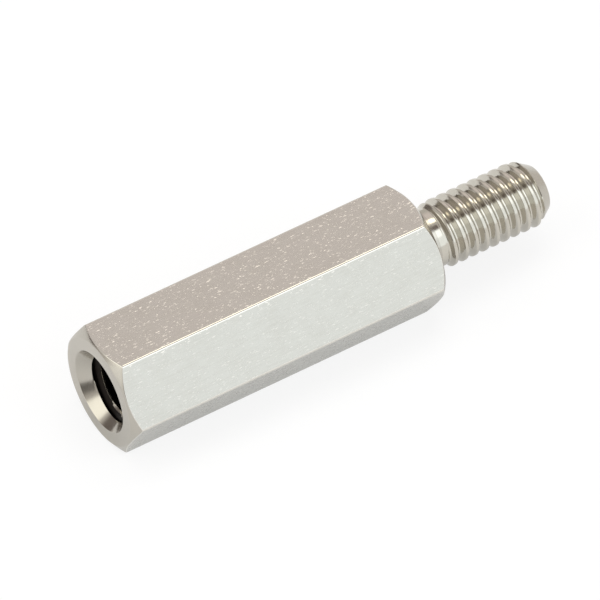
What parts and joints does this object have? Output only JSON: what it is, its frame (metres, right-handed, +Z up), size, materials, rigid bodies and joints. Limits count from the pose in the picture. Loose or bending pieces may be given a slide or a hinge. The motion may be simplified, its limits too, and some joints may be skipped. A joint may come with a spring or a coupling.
{
  "type": "hex standoff",
  "caption": "Hexagonal spacer that holds two boards apart: a threaded hole in one end and a threaded stud on the other.",
  "frame": {"origin": "centre of the female end face, on the axis", "axes": "+X along the axis from the threaded hole to the threaded stud, +Z up and square to the top flat"},
  "size_m": [0.021, 0.0056, 0.005],
  "materials": {
    "nickel": "bright nickel plate over brass, slightly warm, with fine handling marks on the flats"
  },
  "bodies": {
    "root": {"hex_standoff": "nickel"}
  },
  "joints": []
}
